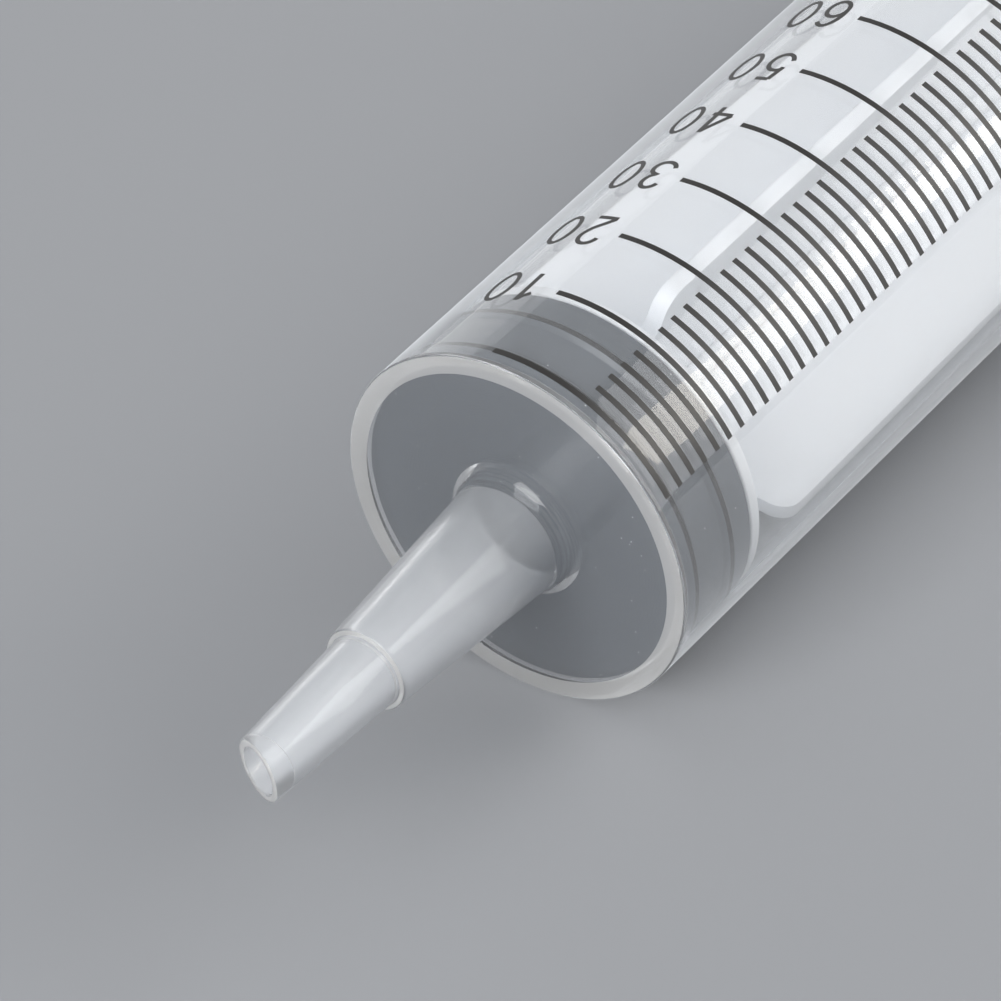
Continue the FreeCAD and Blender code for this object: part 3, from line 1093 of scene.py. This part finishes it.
@dataclass
class PlungerRod:
    """The white rod: snap head, front disc, four ribs on a core, and the ribbed thumb plate. Millimetres."""

    lathe: Lathe
    head_front: float = 5.45
    head_rear: float = 7.65
    head_radius: float = 12.2
    head_chamfer: float = 0.8
    neck_radius: float = 10.2
    neck_sunk: float = 0.3
    neck_edge: float = 0.15
    disc_front: float = 12.65
    disc_rear: float = 14.15
    rod_radius: float = 17.1
    rib_thickness: float = 1.65
    rib_edge: float = 0.22
    rib_angle: float = 17.6
    shoulder_radius: float = 12.6
    shoulder_start: float = 1.3
    shoulder_length: float = 5.5
    shoulder_steps: int = 8
    rib_sunk_front: float = 0.7
    rib_sunk_rear: float = 1.0
    core_radius: float = 2.4
    core_flare: float = 1.0
    core_sunk_front: float = 0.5
    core_sunk_rear: float = 0.1
    root_flare: float = 2.5
    plate_front: float = 136.0
    plate_rear: float = 139.0
    plate_radius: float = 18.0
    plate_edge: float = 0.9
    thumb_ribs: int = 7
    thumb_pitch: float = 3.2
    thumb_width: float = 1.3
    thumb_height: float = 0.5
    thumb_sunk: float = 0.6
    thumb_edge: float = 0.3
    thumb_radius: float = 12.5

    def turn_matrix(self, quarter: int) -> Matrix:
        """Return the matrix that turns a piece about the axis to the rib's angle plus some quarters.

        Args:
            quarter: Number of quarter turns.

        Returns:
            The matrix.
        """
        middle = self.lathe.axis.place(0.0)
        swing = Matrix.Rotation(math.radians(self.rib_angle + 90 * quarter), 4, "X")
        return Matrix.Translation(middle) @ swing @ Matrix.Translation(-middle)

    def rib_side(self) -> list[Point]:
        """Return the upper edge line of a rib, from the disc over its curved shoulder to the thumb plate.

        Returns:
            The points of the line.
        """
        start = self.disc_rear + self.shoulder_start
        end = start + self.shoulder_length
        rise = self.rod_radius - self.shoulder_radius
        turn = 2 * math.atan2(rise, self.shoulder_length)
        bend = self.shoulder_length / (2 * math.sin(turn))
        swings = [turn * step / self.shoulder_steps for step in range(self.shoulder_steps + 1)]
        line = [(self.disc_rear - self.rib_sunk_front, self.shoulder_radius)]
        line += [(start + bend * math.sin(swing), self.shoulder_radius + bend * (1 - math.cos(swing)))
                 for swing in swings]
        line += [(end - bend * math.sin(swing), self.rod_radius - bend * (1 - math.cos(swing)))
                 for swing in swings[-2::-1]]
        line.append((self.plate_front + self.rib_sunk_rear, self.rod_radius))
        return line

    def add_ribs(self, mesh: bmesh.types.BMesh, quarter: int) -> None:
        """Add one plate that makes two opposite ribs.

        Args:
            mesh: The bmesh that gets the ribs.
            quarter: Number of quarter turns.
        """
        side = self.rib_side()
        outline = side + [(x, -radius) for x, radius in reversed(side)]
        middle = self.lathe.axis.place(0.0)
        faces = []
        rows = []
        for lift in (-0.5, 0.5):
            places = [Vector((x, lift * self.rib_thickness, radius)) for x, radius in outline]
            row = [mesh.verts.new(middle + place * MM) for place in places]
            faces.append(mesh.faces.new(row if lift > 0 else row[::-1]))
            rows.append(row)
        for index in range(len(outline)):
            after = (index + 1) % len(outline)
            faces.append(mesh.faces.new((rows[0][index], rows[0][after], rows[1][after], rows[1][index])))
        verts = [vert for face in faces for vert in face.verts]
        rim = [*faces[0].edges, *faces[1].edges]
        made = bmesh.ops.bevel(
            mesh, geom=rim, offset=self.rib_edge * MM, segments=BEVEL_STEPS, profile=0.5, affect="EDGES")
        verts = [vert for vert in dict.fromkeys([*verts, *made["verts"]]) if vert.is_valid]
        bmesh.ops.transform(mesh, matrix=self.turn_matrix(quarter), verts=verts)

    def turned_parts(self) -> list[bpy.types.Object]:
        """Return the turned parts of the rod.

        Returns:
            The head, the disc, the core with its flare, and the thumb plate.
        """
        turn = self.lathe.turn_solid
        disc_ends = (self.disc_front, self.disc_rear)
        plate_ends = (self.plate_front, self.plate_rear)
        return [
            turn("rod_head", [
                (self.head_front, self.head_radius - self.head_chamfer, 0.3),
                (self.head_front + self.head_chamfer, self.head_radius, 0.3),
                (self.head_rear, self.head_radius, 0.2),
            ]),
            turn("rod_disc", [(x, self.rod_radius, 0.3) for x in disc_ends]),
            turn("rod_core", [
                (self.disc_rear - self.core_sunk_front, self.core_radius + self.core_flare, 0.0),
                (self.disc_rear, self.core_radius + self.core_flare, 0.0),
                (self.disc_rear + self.core_flare, self.core_radius, 1.2),
                (self.plate_front - self.root_flare, self.core_radius, 3.0),
                (self.plate_front + self.core_sunk_rear, self.core_radius + self.root_flare, 0.0),
            ]),
            turn("rod_plate", [(x, self.plate_radius, self.plate_edge) for x in plate_ends]),
        ]

    def add_webs(self, mesh: bmesh.types.BMesh) -> None:
        """Add the crossed neck and the grip ribs of the thumb plate.

        Args:
            mesh: The bmesh that gets them.
        """
        middle = self.lathe.axis.place(0.0)
        half = self.rib_thickness / 2
        for wide, tall in ((self.neck_radius, half), (half, self.neck_radius)):
            low = middle + Vector((self.head_rear - self.neck_sunk, -wide, -tall)) * MM
            high = middle + Vector((self.disc_front + self.neck_sunk, wide, tall)) * MM
            soft_bar(mesh, low, high, self.neck_edge * MM)
        half = self.thumb_width / 2
        for number in range(self.thumb_ribs):
            offset = (number - (self.thumb_ribs - 1) / 2) * self.thumb_pitch
            reach = math.sqrt(self.thumb_radius ** 2 - offset ** 2)
            low = middle + Vector((self.plate_rear - self.thumb_sunk, offset - half, -reach)) * MM
            high = middle + Vector((self.plate_rear + self.thumb_height, offset + half, reach)) * MM
            soft_bar(mesh, low, high, self.thumb_edge * MM)
        bmesh.ops.transform(mesh, matrix=self.turn_matrix(0), verts=mesh.verts)

    def build(self) -> bpy.types.Object:
        """Return the whole rod.

        Returns:
            One object with all its parts.
        """
        mesh = bmesh.new()
        self.add_webs(mesh)
        for quarter in (0, 1):
            self.add_ribs(mesh, quarter)
        for part in self.turned_parts():
            mesh.from_mesh(part.data)
            bpy.data.objects.remove(part)
        bmesh.ops.recalc_face_normals(mesh, faces=mesh.faces)
        return object_from("plunger_rod_moulding", mesh)

    def dress(self, rod: bpy.types.Object, white: bpy.types.Material) -> None:
        """Give the rod its white plastic and put it on its body.

        Args:
            rod: The rod's object.
            white: Material of the rod.
        """
        rod.data.materials.append(white)
        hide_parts("plunger_rod")
        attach(rod, Body.ROD.value)


# Studio


@dataclass(frozen=True)
class Softbox:
    """A soft rectangular lamp that faces the syringe. Metres and watts."""

    name: str
    way: tuple[float, float, float]
    reach: float
    wide: float
    tall: float
    power: float
    colour: Colour = (1.0, 1.0, 1.0)

    def hang(self, aim: Vector) -> bpy.types.Object:
        """Return the lamp, facing a point.

        Args:
            aim: The point that it faces.

        Returns:
            The lamp's object.
        """
        data = bpy.data.lights.new(self.name, "AREA")
        data.shape = "RECTANGLE"
        data.size = self.wide
        data.size_y = self.tall
        data.energy = self.power
        data.color = self.colour
        lamp = bpy.data.objects.new(self.name, data)
        back = Vector(self.way).normalized()
        turn = back.to_track_quat("Z", "Y").to_matrix().to_4x4()
        lamp.matrix_world = Matrix.Translation(aim + back * self.reach) @ turn
        bpy.context.scene.collection.objects.link(lamp)
        return lamp


@dataclass
class Studio:
    """The plain pale floor, the soft lights and the camera, whose place and lens are in millimetres."""

    axis: SyringeAxis
    camera_from_front: tuple[float, float, float] = (-389.35, -328.46, 406.02)
    camera_right: tuple[float, float, float] = (0.58550, -0.80528, -0.09333)
    camera_up: tuple[float, float, float] = (0.54648, 0.30703, 0.77916)
    camera_back: tuple[float, float, float] = (-0.59879, -0.50721, 0.61983)
    lens: float = 250.4
    sensor: float = 36.0
    aim_x: float = 10.0
    softboxes: tuple[Softbox, ...] = (
        Softbox("right_softbox", (0.64, -0.50, 0.42), reach=1.6, wide=1.5, tall=1.35, power=12.0),
        Softbox("left_softbox", (0.64, 0.76, 0.18), reach=1.6, wide=1.5, tall=1.1, power=3.2),
        Softbox("warm_core", (0.62, -0.64, 0.455), reach=1.5, wide=0.22, tall=0.5, power=1.6,
                colour=(1.0, 0.92, 0.80)),
        Softbox("front_softbox", (-1.0, -0.15, 0.95), reach=1.6, wide=1.2, tall=1.0, power=16.0),
    )
    room_colour: Colour = (0.80, 0.82, 0.85)
    room_light: float = 0.38
    floor_half: float = 4.0
    # The floor is darker near the middle and painted lighter far away: painted light that fades the far floor
    # into the pale surroundings.
    floor_near: Colour = (0.40, 0.41, 0.43)
    floor_far: Colour = (0.96, 0.96, 0.96)
    floor_fade: tuple[float, float] = (0.6, 2.4)

    def floor(self) -> bpy.types.Object:
        """Return the pale floor, with a faint unevenness in its gloss.

        Returns:
            The floor's object. Its colour goes from near to far between the fade's two distances, in metres:
            the far floor is painted lighter, as painted light that fades it into the pale surroundings.
        """
        mesh = bmesh.new()
        bmesh.ops.create_grid(mesh, x_segments=1, y_segments=1, size=self.floor_half)
        floor = object_from("studio_floor", mesh)
        material = bpy.data.materials.new("floor_pale")
        material.use_nodes = True
        build = NodeBuilder(material.node_tree)
        cloud = build.add("ShaderNodeTexNoise", {"Scale": 30.0, "Detail": 3.0})
        gloss = build.add("ShaderNodeMapRange", {
            "Value": cloud.outputs["Fac"], "To Min": 0.45, "To Max": 0.6})
        spot = build.add("ShaderNodeTexCoord").outputs["Object"]
        away = build.add("ShaderNodeVectorMath", {0: spot}, operation="LENGTH")
        fade = build.add("ShaderNodeMapRange", {
            "Value": away.outputs["Value"], "From Min": self.floor_fade[0], "From Max": self.floor_fade[1]})
        # Painted light: the floor's colour grows lighter with distance from the middle.
        shade = build.blend(fade.outputs["Result"], (*self.floor_near, 1.0), (*self.floor_far, 1.0))
        build.feed(material.node_tree.nodes["Principled BSDF"], {
            "Roughness": gloss.outputs["Result"], "Base Color": shade})
        floor.data.materials.append(material)
        return floor

    def lights(self) -> None:
        """Add the soft lights and the pale surroundings."""
        for softbox in self.softboxes:
            softbox.hang(self.axis.place(self.aim_x))
        world = bpy.data.worlds.new("pale_room")
        world.use_nodes = True
        surroundings = world.node_tree.nodes["Background"]
        surroundings.inputs["Color"].default_value = (*self.room_colour, 1.0)
        surroundings.inputs["Strength"].default_value = self.room_light
        bpy.context.scene.world = world

    def camera(self) -> bpy.types.Object:
        """Return the camera at the photograph's place.

        Returns:
            The camera's object, which is the scene's camera.
        """
        data = bpy.data.cameras.new("studio_camera")
        data.sensor_width = self.sensor
        data.sensor_fit = "HORIZONTAL"
        data.lens = self.lens
        data.clip_start = 0.01
        data.clip_end = 20.0
        camera = bpy.data.objects.new("studio_camera", data)
        place = self.axis.place(0.0) + Vector(self.camera_from_front) * MM
        turn = Matrix((self.camera_right, self.camera_up, self.camera_back)).transposed().normalized()
        camera.matrix_world = Matrix.Translation(place) @ turn.to_4x4()
        bpy.context.scene.collection.objects.link(camera)
        bpy.context.scene.camera = camera
        return camera

    def exposure(self) -> None:
        """Set how light shows as colour, and how far light is followed through the clear walls."""
        scene = bpy.context.scene
        scene.view_settings.view_transform = "Standard"
        scene.view_settings.look = "None"
        scene.cycles.max_bounces = 24
        scene.cycles.transmission_bounces = 16
        scene.cycles.glossy_bounces = 20
        scene.cycles.diffuse_bounces = 10
        scene.cycles.transparent_max_bounces = 24
        scene.cycles.caustics_refractive = True
        scene.cycles.caustics_reflective = False
        scene.cycles.use_denoising = True


def report(piece: bpy.types.Object) -> None:
    """Log a piece's name and its number of faces."""
    log.info("%s: %d faces", piece.name, len(piece.data.polygons))


def main() -> None:
    """Build and dress every piece of the syringe in order, then the studio."""
    logging.basicConfig(level=logging.INFO, format="%(name)s %(message)s")
    rear_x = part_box("barrel")[1].x
    floor_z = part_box("plunger_rod")[0].z
    axis = SyringeAxis(front_x=rear_x - Barrel.length * MM, height=floor_z + PlungerRod.plate_radius * MM)
    lathe = Lathe(axis)
    groups = EffectGroups(handling_group(), turning_group(axis))
    finishes = Finishes()

    studio = Studio(axis)
    studio.camera()

    barrel = Barrel(lathe)
    moulding = barrel.build()
    barrel.dress(moulding, {
        Region.TUBE: finishes.tube.material("clear_tube", groups),
        Region.PASSAGE: finishes.passage.material("milky_passage", groups),
        Region.RIM: finishes.rim.material("rim_haze_and_painted_light", groups),
        Region.PLATE: finishes.plate.material("ringed_plate", groups),
        Region.SKIN: finishes.skin.material("tip_skin", groups),
    })
    report(moulding)

    scale = ScalePrint(axis)
    numerals = scale.build()
    scale.dress(numerals, finishes.ink.material("scale_ink", groups))
    report(numerals)

    stopper = Stopper(lathe)
    rubber = stopper.build()
    stopper.dress(rubber, finishes.rubber.material("stopper_rubber", groups),
                  finishes.pressed.material("stopper_contact_shade", groups))
    report(rubber)

    rod = PlungerRod(lathe)
    white = rod.build()
    rod.dress(white, finishes.rod.material("rod_white", groups))
    report(white)

    report(studio.floor())
    studio.lights()
    studio.exposure()


if __name__ == "__main__":
    main()
